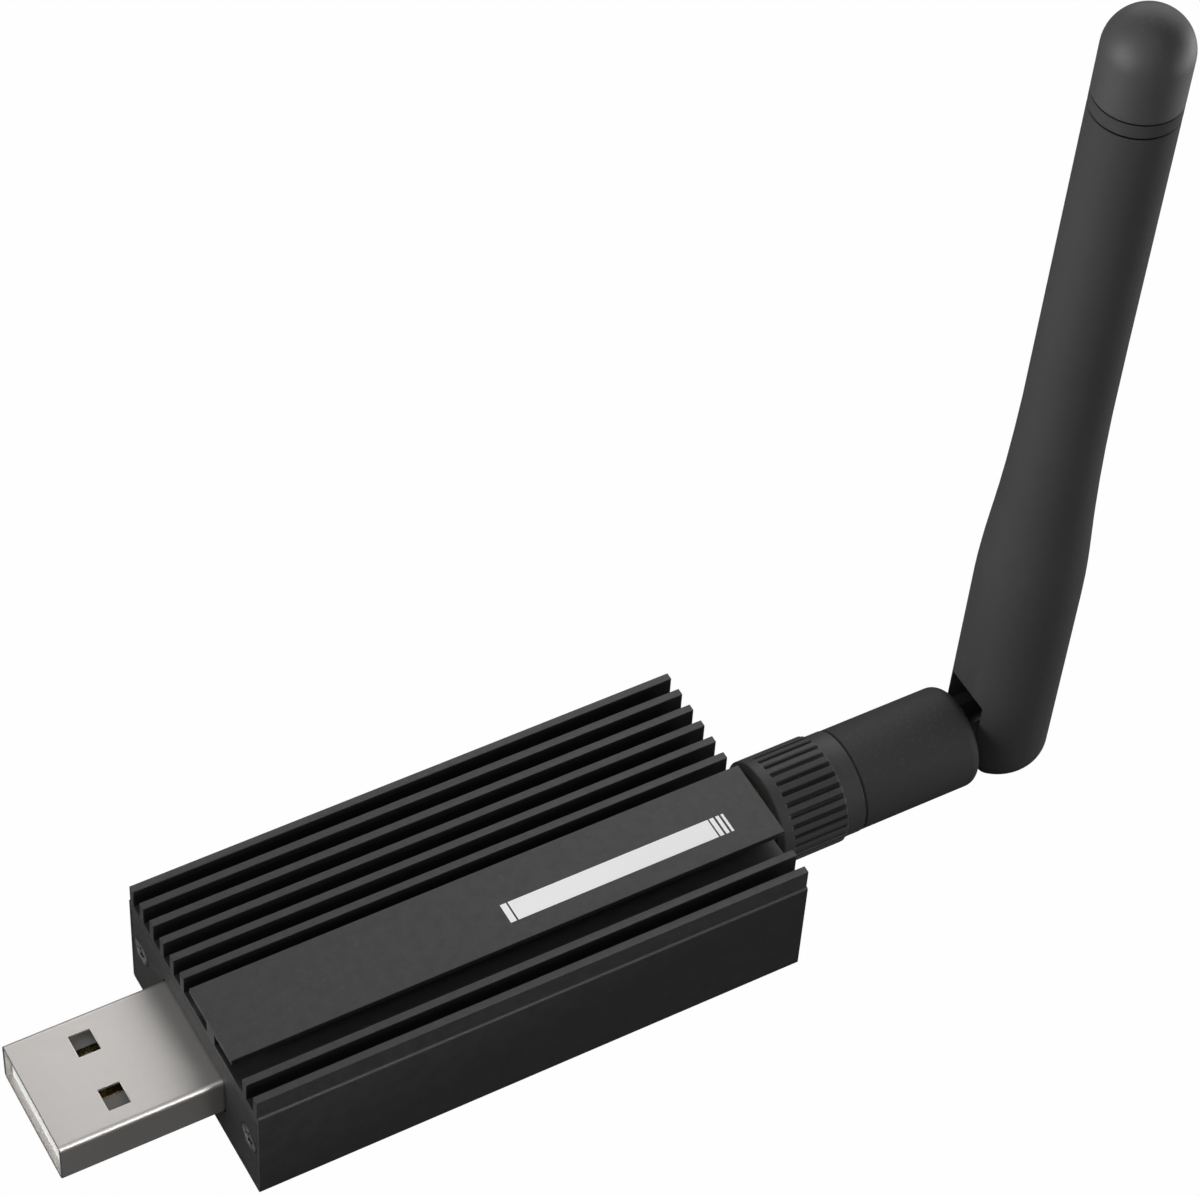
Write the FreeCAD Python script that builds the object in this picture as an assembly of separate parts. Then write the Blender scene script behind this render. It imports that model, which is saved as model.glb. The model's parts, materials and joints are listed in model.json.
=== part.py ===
import FreeCAD, Part
import math
import os

# A radio stick for a computer's USB socket: a finned extrusion with the plug at one end
# and a screw-on swivel aerial at the other. X runs from plug to aerial, Z is up, and the
# origin is the centre of the underside. Lengths are millimetres, angles are degrees.

# Housing extrusion
housing_length = 53.0
housing_width = 25.5
body_height = 11.15
side_wall = 1.4
floor_wall = 1.4
top_wall = 1.3
bottom_edge_radius = 0.3

# Cooling fins, counted inwards from each side
fin_height = 2.05
fin_width = 0.70
fin_pitch = 2.025
fin_inset = 0.25
far_fins = 6
near_fins = 2

# Label strip, a T in the extrusion's section
label_width = 8.2
label_centre_y = -3.6
label_thickness = 0.6
label_web = 1.5
label_overhang = 0.4

# Inner rails that hold the board and take the end screws
rail_depth = 2.35
rail_under_board = 0.9
rail_above_screw = 2.4
board_slot_depth = 0.5

# End plates, flush in a rebate of the extrusion
plate_thickness = 1.2
plate_side_lip = 0.35
plate_bottom_lip = 0.6
plate_top_lip = 0.85
plate_corner_radius = 0.6

# Countersunk end screws
screw_inset = 2.0
screw_z = 5.8
screw_radius = 0.8
screw_head_radius = 1.45
screw_length = 6.0
screw_end_room = 0.5
screw_recess_width = 0.36
screw_recess_length = 1.5
screw_recess_depth = 0.5

# Plug shell
plug_width = 12.0
plug_height = 4.5
plug_reach = 15.03
plug_inside = 4.0
plug_centre_z = 5.5
shell_wall = 0.3
shell_corner_radius = 0.5
window_setback = 5.28
window_length = 2.03
window_inner_y = 1.85
window_outer_y = 4.2
shell_tab_length = 2.6
shell_tab_height = 2.4

# Plug tongue and contacts
tongue_thickness = 1.95
tongue_setback = 0.55
tongue_side_gap = 0.2
rear_block_length = 3.6
contact_ys = (-3.5, -1.0, 1.0, 3.5)
contact_width = 1.0
contact_thickness = 0.2
contact_setbacks = (1.3, 2.3, 2.3, 1.3)
contact_tail = 1.8

# Circuit board
board_thickness = 1.6
board_front_gap = 0.2
board_notch_gap = 0.1

# Parts soldered on the board; 'along' is counted from its front edge
shield_along = 31.0
shield_length = 12.0
shield_width = 11.0
shield_height = 2.0
shield_wall = 0.2
radio_chip_side = 7.0
radio_chip_height = 0.9
bridge_along = 9.0
bridge_chip_side = 5.0
bridge_chip_height = 0.85
regulator_along = 8.6
regulator_size = (3.5, 4.4, 1.5)
regulator_inset = 1.05
crystal_alongs = (9.4, 21.0)
crystal_size = (3.2, 2.5, 0.8)
crystal_inset = 1.8
led_along = 3.7
led_size = (1.6, 0.8, 0.6)
led_inset = 0.95
capacitor_size = (1.0, 0.5, 0.5)
capacitor_pitch = 1.6
capacitor_row_y = 1.2
input_row_along = 4.6
middle_row_along = 13.0
radio_row_along = 23.4

# Press switches on the board
switch_along = 15.5
switch_inset = 1.65
switch_length = 4.2
switch_width = 3.2
switch_height = 1.5
switch_lid = 0.3
switch_cavity_radius = 1.25
switch_cavity_height = 0.6
plunger_radius = 0.8
plunger_flange = 0.25
plunger_proud = 0.6

# Aerial jack on the board's edge
axis_z = 5.25
jack_block = 6.35
jack_block_length = 2.0
jack_radius = 3.1
jack_reach = 8.3
jack_bore_radius = 2.05
jack_mouth_radius = 2.325
jack_mouth_depth = 2.1
jack_leg = 1.0
jack_leg_length = 4.2
socket_radius = 0.65
socket_hole_radius = 0.5
socket_hole_depth = 3.3
tail_radius = 0.35
tail_length = 2.6

# Ribbed coupling nut
nut_front = 2.2
nut_end = 11.3
nut_radius = 5.13
nut_chamfer = 0.5
rib_start = 3.63
rib_end = 9.4
rib_count = 30
rib_groove_bottom = 0.24
rib_groove_mouth = 0.56
rib_chamfer = 0.2
collar_radius = 4.88
insert_radius = 4.0
insert_front_inset = 0.4
insert_rear_inset = 0.3

# Plug of the aerial
flange_thickness = 0.4
ferrule_radius = 2.25
ferrule_bore_radius = 1.75
pilot_length = 1.95
crimp_start = 12.0
ferrule_end = 15.0
pin_radius = 0.45
pin_reach = 4.7
retaining_thickness = 0.5
retaining_radius = 3.3

# Lower part of the aerial, with the hinge tongue
barrel_radius = 4.84
barrel_edge_radius = 1.2
barrel_front_chamfer = 0.2
barrel_cable_radius = 1.2
tongue_half_height = 2.3
tongue_half_width = 2.35
tongue_root = 2.0
prong_gap = 2.3
trunnion_radius = 1.5
trunnion_reach = 3.9

# Blade, measured along its own axis from the hinge
pivot_u = 28.4
blade_lean = 1.9
blade_radius = 4.87
blade_foot = 4.4
foot_radius = 2.8
taper_start = 19.0
taper_end = 50.5
taper_middle = 0.30
taper_middle_drop = 0.48
tube_radius = 3.84
blade_bore_radius = 2.4
fork_top = 5.7
fork_mouth_rise = 2.0
ring_groove_at = 74.86
ring_groove_width = 0.34
ring_groove_depth = 0.22
cap_seam_at = 76.29
seam_chamfer = 0.14
blade_top = 84.64
cap_spigot_length = 3.4

# Dipole inside the blade
cable_radius = 0.9
cable_bend_radius = 4.0
sleeve_start = 22.0
sleeve_end = 46.0
sleeve_radius = 1.9
sleeve_inner_radius = 1.2
sleeve_lip = 1.0
whip_radius = 0.4
whip_end = 72.0
spacer_at = 60.0
spacer_thickness = 2.0

# Clearances
seam = 0.05
running = 0.07
press = 0.02
swing = 0.15
plug_gap = 0.2
slot_clearance = 0.05

# How far two shapes reach into each other where they are joined into one
joined = 1.0

half_length = housing_length / 2
half_width = housing_width / 2
cavity_half_width = half_width - side_wall
cavity_top = body_height - top_wall
fin_top = body_height + fin_height
rail_inner_y = cavity_half_width - rail_depth
screw_y = half_width - screw_inset
board_half_width = rail_inner_y + board_slot_depth - slot_clearance
switch_y = board_half_width - switch_inset - switch_width / 2
regulator_y = board_half_width - regulator_inset - regulator_size[1] / 2
crystal_y = board_half_width - crystal_inset - crystal_size[1] / 2
led_y = board_half_width - led_inset - led_size[1] / 2
board_top = axis_z - tail_radius
board_bottom = board_top - board_thickness
plug_bottom = plug_centre_z - plug_height / 2
plug_top = plug_bottom + plug_height
plug_tip = -half_length - plug_reach
plug_rear = -half_length + plug_inside
pivot_x = half_length + pivot_u
barrel_end = pivot_u - blade_foot - swing
fin_root = body_height - top_wall / 2
board_front = plug_rear + contact_thickness + board_front_gap
board_rear = half_length - plate_thickness - seam - jack_block_length - board_front_gap

# Stations on the aerial's axis, counted like its other sizes from the housing's end
jack_back = -plate_thickness - seam - jack_block_length
jack_front = jack_reach - jack_mouth_depth
thread_bore = jack_radius + seam
flange_front = jack_reach + seam
flange_back = flange_front + flange_thickness
groove_front = flange_back + seam / 2
ring_front = flange_back + seam
ring_back = ring_front + retaining_thickness
groove_back = ring_back + seam


def box(x0, x1, y0, y1, z0, z1):
    return Part.makeBox(x1 - x0, y1 - y0, z1 - z0, FreeCAD.Vector(x0, y0, z0))


def rod_x(radius, x0, x1, y, z):
    return Part.makeCylinder(radius, x1 - x0, FreeCAD.Vector(x0, y, z), FreeCAD.Vector(1, 0, 0))


def rod_y(radius, half, x=0.0, z=0.0):
    return Part.makeCylinder(radius, 2 * half, FreeCAD.Vector(x, -half, z), FreeCAD.Vector(0, 1, 0))


def rod_z(radius, x, y, z0, z1):
    return Part.makeCylinder(radius, z1 - z0, FreeCAD.Vector(x, y, z0))


def rounded_box_x(x0, x1, half_y, z0, z1, radius):
    """A bar along X whose four long edges are rounded."""
    bar = box(x0, x1, -half_y, half_y, z0, z1)
    long_edges = [e for e in bar.Edges if abs(e.Vertexes[0].X - e.Vertexes[1].X) > 1e-6]
    return bar.makeFillet(radius, long_edges)


def turned(profile):
    """Revolve (u, radius) points about the aerial's axis; u is counted from the housing's end."""
    points = [FreeCAD.Vector(half_length + u, 0, axis_z + r) for u, r in profile]
    face = Part.Face(Part.makePolygon(points + points[:1]))
    return face.revolve(FreeCAD.Vector(0, 0, axis_z), FreeCAD.Vector(1, 0, 0), 360)


def on_blade(shape):
    """Move a shape drawn upright about the hinge to the leaning blade's place."""
    shape.rotate(FreeCAD.Vector(0, 0, 0), FreeCAD.Vector(0, 1, 0), blade_lean)
    shape.translate(FreeCAD.Vector(pivot_x, 0, axis_z))
    return shape


def save(name, shape):
    shape.exportStep("parts/" + name + ".step")


def make_housing():
    body = box(-half_length, half_length, -half_width, half_width, 0, body_height)
    long_edges = [e for e in body.Edges if abs(e.Vertexes[0].X - e.Vertexes[1].X) > 1e-6]
    low = [e for e in long_edges if e.Vertexes[0].Z < body_height / 2]
    body = body.makeFillet(bottom_edge_radius, low)
    high = [e for e in body.Edges if e.BoundBox.XLength > housing_length / 2
            and abs(e.CenterOfMass.z - body_height) < 1e-6]
    body = body.makeFillet(fin_inset - fin_inset / 100, high)

    ridges = []
    for i in range(far_fins):
        outer = half_width - fin_inset - i * fin_pitch
        ridges.append(box(-half_length, half_length, outer - fin_width, outer, fin_root, fin_top))
    for i in range(near_fins):
        outer = -half_width + fin_inset + i * fin_pitch
        ridges.append(box(-half_length, half_length, outer, outer + fin_width, fin_root, fin_top))
    web = (label_centre_y - label_web / 2, label_centre_y + label_web / 2)
    ridges.append(box(-half_length, half_length, *web, fin_root, fin_top))
    strip = (label_centre_y - label_width / 2, label_centre_y + label_width / 2)
    ridges.append(box(-half_length, half_length + label_overhang, *strip,
                      fin_top - label_thickness, fin_top))
    body = body.multiFuse(ridges)

    hollow = box(-half_length, half_length, -cavity_half_width, cavity_half_width, floor_wall, cavity_top)
    for side in (-1, 1):
        inner, outer = sorted((side * rail_inner_y, side * (cavity_half_width + side_wall / 2)))
        hollow = hollow.cut(box(-half_length, half_length, inner, outer,
                                board_bottom - rail_under_board, screw_z + rail_above_screw))
        inner, outer = sorted((side * (rail_inner_y - joined), side * (rail_inner_y + board_slot_depth)))
        hollow = hollow.fuse(box(-half_length, half_length, inner, outer,
                                 board_bottom - slot_clearance, board_top + slot_clearance))
    body = body.cut(hollow)

    pockets = []
    for end in (-1, 1):
        x0, x1 = sorted((end * half_length, end * (half_length - plate_thickness)))
        pockets.append(rounded_box_x(x0, x1, half_width - plate_side_lip, plate_bottom_lip,
                                     body_height - plate_top_lip, plate_corner_radius))
        for side in (-1, 1):
            x0, x1 = sorted((end * half_length, end * (half_length - screw_length - screw_end_room)))
            pockets.append(rod_x(screw_radius + seam, x0, x1, side * screw_y, screw_z))
    return body.cut(pockets).removeSplitter()


def make_plate(end):
    x0, x1 = sorted((end * half_length, end * (half_length - plate_thickness)))
    plate = rounded_box_x(x0, x1, half_width - plate_side_lip - seam, plate_bottom_lip + seam,
                          body_height - plate_top_lip - seam, plate_corner_radius - seam)
    if end < 0:
        aperture = rounded_box_x(x0, x1, plug_width / 2 + plug_gap, plug_bottom - plug_gap,
                                 plug_top + plug_gap, shell_corner_radius + plug_gap)
    else:
        aperture = rod_x(jack_radius + seam, x0, x1, 0, axis_z)
    plate = plate.cut(aperture)
    for side in (-1, 1):
        plate = plate.cut(screw_solid(end, side, seam))
    return plate


def screw_solid(end, side, grow):
    """A countersunk screw, or the room it needs when grow is the clearance."""
    face = end * half_length
    inward = FreeCAD.Vector(-end, 0, 0)
    start = FreeCAD.Vector(face, side * screw_y, screw_z)
    head_depth = screw_head_radius - screw_radius
    head = Part.makeCone(screw_head_radius + grow, screw_radius + grow, head_depth, start, inward)
    shank = Part.makeCylinder(screw_radius + grow, screw_length, start, inward)
    return head.fuse(shank)


def make_screws():
    screws = []
    for end in (-1, 1):
        for side in (-1, 1):
            screw = screw_solid(end, side, 0)
            x0, x1 = sorted((end * half_length, end * (half_length - screw_recess_depth)))
            y = side * screw_y
            long, short = screw_recess_length / 2, screw_recess_width / 2
            screw = screw.cut(box(x0, x1, y - long, y + long, screw_z - short, screw_z + short))
            screw = screw.cut(box(x0, x1, y - short, y + short, screw_z - long, screw_z + long))
            screws.append(screw)
    return Part.makeCompound(screws)


def make_usb_shell():
    shell = rounded_box_x(plug_tip, plug_rear, plug_width / 2, plug_bottom, plug_top, shell_corner_radius)
    inner = rounded_box_x(plug_tip, plug_rear, plug_width / 2 - shell_wall, plug_bottom + shell_wall,
                          plug_top - shell_wall, shell_corner_radius - shell_wall)
    shell = shell.cut(inner)
    window_x = plug_tip + window_setback
    for side in (-1, 1):
        y0, y1 = sorted((side * window_inner_y, side * window_outer_y))
        shell = shell.cut(box(window_x, window_x + window_length, y0, y1, plug_bottom, plug_top))
        y0, y1 = sorted((side * (plug_width / 2 - shell_wall), side * plug_width / 2))
        shell = shell.fuse(box(plug_rear - joined, plug_rear + shell_tab_length, y0, y1,
                               plug_centre_z - shell_tab_height / 2, plug_centre_z + shell_tab_height / 2))
    return shell.removeSplitter()


def contact_solids():
    tongue_top = plug_bottom + shell_wall + tongue_thickness
    drop = plug_rear + press
    contacts = []
    for y, setback in zip(contact_ys, contact_setbacks):
        start = plug_tip + tongue_setback + setback
        outline = [(start, tongue_top - contact_thickness / 2), (start, tongue_top + contact_thickness / 2),
                   (drop + contact_thickness, tongue_top + contact_thickness / 2),
                   (drop + contact_thickness, board_top + contact_thickness),
                   (drop + contact_tail, board_top + contact_thickness), (drop + contact_tail, board_top),
                   (drop, board_top), (drop, tongue_top - contact_thickness / 2)]
        points = [FreeCAD.Vector(x, y - contact_width / 2, z) for x, z in outline]
        face = Part.Face(Part.makePolygon(points + points[:1]))
        contacts.append(face.extrude(FreeCAD.Vector(0, contact_width, 0)))
    return contacts


def make_usb_insulator():
    half = plug_width / 2 - shell_wall - tongue_side_gap
    bottom = plug_bottom + shell_wall
    tongue = box(plug_tip + tongue_setback, plug_rear, -half, half, bottom, bottom + tongue_thickness)
    block = box(plug_rear - rear_block_length, plug_rear, -half, half, bottom, plug_top - shell_wall)
    return tongue.fuse(block).removeSplitter().cut(contact_solids())


def make_board():
    shoulder = plug_rear + shell_tab_length + board_notch_gap
    board = box(shoulder, board_rear, -board_half_width, board_half_width, board_bottom, board_top)
    front_half = plug_width / 2 - shell_wall - board_notch_gap
    front = box(board_front, shoulder, -front_half, front_half, board_bottom, board_top)
    return board.fuse(front).removeSplitter()


def on_board(along, y, length, width, height):
    """A block soldered on the board, its centre 'along' behind the board's front edge."""
    x = board_front + along
    return box(x - length / 2, x + length / 2, y - width / 2, y + width / 2, board_top, board_top + height)


def make_shield():
    can = on_board(shield_along, 0, shield_length, shield_width, shield_height)
    hollow = on_board(shield_along, 0, shield_length - 2 * shield_wall, shield_width - 2 * shield_wall,
                      shield_height - shield_wall)
    return can.cut(hollow)


def make_switch_body(y):
    body = on_board(switch_along, y, switch_length, switch_width, switch_height)
    x = board_front + switch_along
    top = board_top + switch_height
    ceiling = top - switch_lid
    body = body.cut(rod_z(plunger_radius + running, x, y, ceiling - switch_cavity_height, top))
    return body.cut(rod_z(switch_cavity_radius, x, y, ceiling - switch_cavity_height, ceiling))


def make_plunger(y):
    x = board_front + switch_along
    top = board_top + switch_height
    shoulder = top - switch_lid - seam
    foot = shoulder - plunger_flange
    flange = rod_z(switch_cavity_radius - running, x, y, foot, shoulder)
    return flange.fuse(rod_z(plunger_radius, x, y, foot, top + plunger_proud)).removeSplitter()


def make_capacitors():
    places = []
    for side in (-1, 1):
        places += [(input_row_along, side * (2 * capacitor_row_y + i * capacitor_pitch)) for i in range(2)]
        places += [(middle_row_along + i * capacitor_pitch, side * capacitor_row_y) for i in range(4)]
    places += [(radio_row_along, -3 * capacitor_row_y - i * capacitor_pitch) for i in range(3)]
    places.append((radio_row_along, 3 * capacitor_row_y))
    return Part.makeCompound([on_board(along, y, *capacitor_size) for along, y in places])


def make_jack():
    x0 = half_length + jack_back
    x1 = x0 + jack_block_length
    half = jack_block / 2
    jack = box(x0, x1, -half, half, axis_z - half, axis_z + half)
    jack = jack.fuse(rod_x(jack_radius, x1 - joined, half_length + jack_reach, 0, axis_z))
    for side in (-1, 1):
        y0, y1 = sorted((side * (half - jack_leg), side * half))
        for z0 in (board_top, board_bottom - jack_leg):
            jack = jack.fuse(box(x0 - jack_leg_length, x0 + joined, y0, y1, z0, z0 + jack_leg))
    jack = jack.cut(rod_x(jack_bore_radius + press, x0, half_length + jack_reach, 0, axis_z))
    mouth = half_length + jack_front
    return jack.cut(rod_x(jack_mouth_radius, mouth, half_length + jack_reach, 0, axis_z)).removeSplitter()


def make_jack_insulator():
    return turned([(jack_back, socket_radius + press), (jack_front, socket_radius + press),
                   (jack_front, jack_bore_radius), (jack_back, jack_bore_radius)])


def make_jack_pin():
    tail = jack_back - tail_length
    hole = jack_front - socket_hole_depth
    return turned([(tail, 0), (hole, 0), (hole, socket_hole_radius), (jack_front, socket_hole_radius),
                   (jack_front, socket_radius), (jack_back, socket_radius), (jack_back, tail_radius),
                   (tail, tail_radius)])


def make_nut_sleeve():
    bore = insert_radius + press
    sleeve = turned([(nut_front, bore), (nut_front, nut_radius - nut_chamfer),
                     (nut_front + nut_chamfer, nut_radius), (rib_end - rib_chamfer, nut_radius),
                     (rib_end, nut_radius - rib_chamfer), (rib_end, collar_radius),
                     (nut_end - rib_chamfer / 2, collar_radius), (nut_end, collar_radius - rib_chamfer / 2),
                     (nut_end, bore)])
    core = rod_x(collar_radius, half_length + nut_front, half_length + nut_end, 0, axis_z)
    outline = [(-rib_groove_bottom / 2, collar_radius - rib_chamfer),
               (rib_groove_bottom / 2, collar_radius - rib_chamfer),
               (rib_groove_mouth / 2, nut_radius + rib_chamfer),
               (-rib_groove_mouth / 2, nut_radius + rib_chamfer)]
    points = [FreeCAD.Vector(half_length + rib_start, y, axis_z + r) for y, r in outline]
    first = Part.Face(Part.makePolygon(points + points[:1]))
    first = first.extrude(FreeCAD.Vector(rib_end - rib_start, 0, 0)).cut(core)
    grooves = []
    for i in range(rib_count):
        groove = first.copy()
        groove.rotate(FreeCAD.Vector(0, 0, axis_z), FreeCAD.Vector(1, 0, 0), i * 360 / rib_count)
        grooves.append(groove)
    return sleeve.cut(grooves).removeSplitter()


def make_nut_insert():
    front = nut_front + insert_front_inset
    back = nut_end - insert_rear_inset
    lip = ferrule_radius + running
    groove = retaining_radius + running
    return turned([(front, thread_bore), (groove_front, thread_bore), (groove_front, groove),
                   (groove_back, groove), (groove_back, lip), (back, lip),
                   (back, insert_radius), (front, insert_radius)])


def make_retaining_ring():
    inner = ferrule_radius + running
    return turned([(ring_front, inner), (ring_back, inner), (ring_back, retaining_radius),
                   (ring_front, retaining_radius)])


def make_ferrule():
    flange = thread_bore - running
    pilot = flange_front - pilot_length
    crimp = cable_radius + seam
    return turned([(pilot, ferrule_bore_radius), (pilot, ferrule_radius), (flange_front, ferrule_radius),
                   (flange_front, flange), (flange_back, flange), (flange_back, ferrule_radius),
                   (ferrule_end, ferrule_radius), (ferrule_end, crimp), (crimp_start, crimp),
                   (crimp_start, ferrule_bore_radius)])


def make_plug_insulator():
    pilot = flange_front - pilot_length
    return turned([(pilot, pin_radius + press), (crimp_start, pin_radius + press),
                   (crimp_start, ferrule_bore_radius - press), (pilot, ferrule_bore_radius - press)])


def make_plug_pin():
    tip = flange_front - pin_reach
    taper = pin_radius / 2
    return turned([(tip, 0), (tip, pin_radius - taper), (tip + taper, pin_radius),
                   (crimp_start, pin_radius), (crimp_start, 0)])


def make_barrel():
    x0 = half_length + nut_end + seam
    x1 = half_length + barrel_end
    barrel = rod_x(barrel_radius, x0, x1, 0, axis_z)
    rear = [e for e in barrel.Edges if e.BoundBox.XLength < 1e-6 and abs(e.BoundBox.XMin - x1) < 1e-6]
    barrel = barrel.makeFillet(barrel_edge_radius, rear)
    front = [e for e in barrel.Edges if e.BoundBox.XLength < 1e-6 and abs(e.BoundBox.XMin - x0) < 1e-6]
    barrel = barrel.makeChamfer(barrel_front_chamfer, front)
    tongue = box(x1 - tongue_root, pivot_x, -tongue_half_width, tongue_half_width,
                 axis_z - tongue_half_height, axis_z + tongue_half_height)
    tongue = tongue.fuse(rod_y(tongue_half_height, tongue_half_width, pivot_x, axis_z))
    tongue = tongue.fuse(rod_y(trunnion_radius, trunnion_reach, pivot_x, axis_z))
    barrel = barrel.fuse(tongue)
    barrel = barrel.cut(box(x1 + swing, pivot_x + 2 * tongue_half_height, -prong_gap / 2, prong_gap / 2,
                            axis_z - 2 * tongue_half_height, axis_z + 2 * tongue_half_height))
    barrel = barrel.cut(rod_x(ferrule_radius + press, x0, half_length + ferrule_end + seam, 0, axis_z))
    return barrel.cut(rod_x(barrel_cable_radius, x0, x1 + tongue_root, 0, axis_z)).removeSplitter()


def blade_outline():
    """The blade's outer profile as edges, from the foot's centre up to the cap's seam."""
    def at(r, s):
        return FreeCAD.Vector(r, 0, s)
    corner = foot_radius * math.sqrt(0.5)
    taper = Part.BSplineCurve()
    middle = taper_start + (taper_end - taper_start) * taper_middle
    drop = (blade_radius - tube_radius) * taper_middle_drop
    taper.interpolate(Points=[at(blade_radius, taper_start), at(blade_radius - drop, middle),
                              at(tube_radius, taper_end)],
                      InitialTangent=at(0, 1), FinalTangent=at(0, 1))
    low = ring_groove_at - ring_groove_width / 2
    high = ring_groove_at + ring_groove_width / 2
    end = cap_seam_at - seam / 2
    edges = [Part.LineSegment(at(0, -blade_foot), at(blade_radius - foot_radius, -blade_foot)),
             Part.Arc(at(blade_radius - foot_radius, -blade_foot),
                      at(blade_radius - foot_radius + corner, -blade_foot + foot_radius - corner),
                      at(blade_radius, foot_radius - blade_foot)),
             Part.LineSegment(at(blade_radius, foot_radius - blade_foot), at(blade_radius, taper_start)),
             taper]
    points = [(tube_radius, taper_end), (tube_radius, low),
              (tube_radius - ring_groove_depth, ring_groove_at), (tube_radius, high),
              (tube_radius, end - seam_chamfer), (tube_radius - seam_chamfer, end),
              (0, end), (0, -blade_foot)]
    edges += [Part.LineSegment(at(*a), at(*b)) for a, b in zip(points, points[1:])]
    return [e.toShape() for e in edges]


def make_blade():
    face = Part.Face(Part.Wire(blade_outline()))
    blade = face.revolve(FreeCAD.Vector(0, 0, 0), FreeCAD.Vector(0, 0, 1), 360)
    blade = blade.cut(rod_z(blade_bore_radius, 0, 0, 0, cap_seam_at))
    far = 3 * blade_radius
    half = tongue_half_width + swing
    room = tongue_half_height + 2 * swing
    mouth = -math.sqrt(blade_radius ** 2 - half ** 2)
    outline = [(0, -far), (0, fork_top), (mouth, fork_top),
               (-far, fork_top + fork_mouth_rise * (mouth + far)), (-far, -far)]
    points = [FreeCAD.Vector(x, -half, z) for x, z in outline]
    slot = Part.Face(Part.makePolygon(points + points[:1])).extrude(FreeCAD.Vector(0, 2 * half, 0))
    slot = slot.fuse(box(-far, room, -half, half, -far, 0)).fuse(rod_y(room, half))
    blade = blade.cut(slot)
    heel = box(-far, 0, -far, far, -far, 0).cut(rod_y(blade_foot, far))
    blade = blade.cut(heel)
    return on_blade(blade.cut(rod_y(trunnion_radius + seam, trunnion_reach + seam)))


def make_blade_cap():
    def at(r, s):
        return FreeCAD.Vector(r, 0, s)
    start = cap_seam_at + seam / 2
    spigot = blade_bore_radius - seam
    spring = blade_top - tube_radius
    dome = tube_radius * math.sqrt(0.5)
    bottom = start - cap_spigot_length
    points = [(0, blade_top), (0, bottom), (spigot, bottom), (spigot, start),
              (tube_radius - seam_chamfer, start), (tube_radius, start + seam_chamfer),
              (tube_radius, spring)]
    outline = [Part.LineSegment(at(*a), at(*b)) for a, b in zip(points, points[1:])]
    outline.append(Part.Arc(at(tube_radius, spring), at(dome, spring + dome), at(0, blade_top)))
    face = Part.Face(Part.Wire([e.toShape() for e in outline]))
    return on_blade(face.revolve(FreeCAD.Vector(0, 0, 0), FreeCAD.Vector(0, 0, 1), 360))


def make_coax():
    """One lead from the crimp, round the hinge, up to the top of the sleeve."""
    lean = math.radians(blade_lean)
    up = FreeCAD.Vector(math.sin(lean), 0, math.cos(lean))
    pivot = FreeCAD.Vector(pivot_x, 0, axis_z)
    along = FreeCAD.Vector(1, 0, 0)
    reach = cable_bend_radius * math.tan((math.pi / 2 - lean) / 2)
    start = FreeCAD.Vector(half_length + crimp_start + seam, 0, axis_z)
    bend_in = pivot - along * reach
    bend_out = pivot + up * reach
    centre = bend_in + FreeCAD.Vector(0, 0, cable_bend_radius)
    inward = (pivot - centre).normalize()
    end = pivot + up * (sleeve_end - seam)
    path = Part.Wire([Part.LineSegment(start, bend_in).toShape(),
                      Part.Arc(bend_in, centre + inward * cable_bend_radius, bend_out).toShape(),
                      Part.LineSegment(bend_out, end).toShape()])
    section = Part.Wire(Part.makeCircle(cable_radius, start, along))
    return path.makePipeShell([section], True, False)


def make_sleeve_tube():
    tube = rod_z(sleeve_radius, 0, 0, sleeve_start, sleeve_end)
    tube = tube.cut(rod_z(sleeve_inner_radius, 0, 0, sleeve_start, sleeve_end - sleeve_lip))
    return on_blade(tube.cut(rod_z(cable_radius + seam, 0, 0, sleeve_start, sleeve_end)))


def make_spacer():
    disc = rod_z(blade_bore_radius - seam, 0, 0, spacer_at, spacer_at + spacer_thickness)
    return on_blade(disc.cut(rod_z(whip_radius + press, 0, 0, spacer_at, spacer_at + spacer_thickness)))


save("housing", make_housing())
save("usb_end_plate", make_plate(-1))
save("antenna_end_plate", make_plate(1))
save("end_plate_screws", make_screws())
save("usb_shell", make_usb_shell())
save("usb_insulator", make_usb_insulator())
save("usb_contacts", Part.makeCompound(contact_solids()))
save("main_board", make_board())
save("radio_shield", make_shield())
save("radio_chip", on_board(shield_along, 0, radio_chip_side, radio_chip_side, radio_chip_height))
save("bridge_chip", on_board(bridge_along, 0, bridge_chip_side, bridge_chip_side, bridge_chip_height))
save("regulator", on_board(regulator_along, regulator_y, *regulator_size))
save("crystals", Part.makeCompound([on_board(along, side * crystal_y, *crystal_size)
                                    for along, side in zip(crystal_alongs, (-1, 1))]))
save("status_leds", Part.makeCompound([on_board(led_along, y, *led_size) for y in (-led_y, led_y)]))
save("board_capacitors", make_capacitors())
for name, y in (("boot", switch_y), ("reset", -switch_y)):
    save(name + "_switch_body", make_switch_body(y))
    save(name + "_plunger", make_plunger(y))
save("antenna_jack", make_jack())
save("jack_insulator", make_jack_insulator())
save("jack_pin", make_jack_pin())
save("nut_sleeve", make_nut_sleeve())
save("nut_insert", make_nut_insert())
save("retaining_ring", make_retaining_ring())
save("plug_ferrule", make_ferrule())
save("plug_insulator", make_plug_insulator())
save("plug_pin", make_plug_pin())
save("barrel", make_barrel())
save("blade", make_blade())
save("blade_cap", make_blade_cap())
save("coax_cable", make_coax())
save("sleeve_tube", make_sleeve_tube())
save("radiator_whip", on_blade(rod_z(whip_radius, 0, 0, sleeve_end + seam, whip_end)))
save("centring_spacer", make_spacer())
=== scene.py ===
import json
import math

import bpy
import numpy as np
from mathutils import Matrix, Vector


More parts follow.
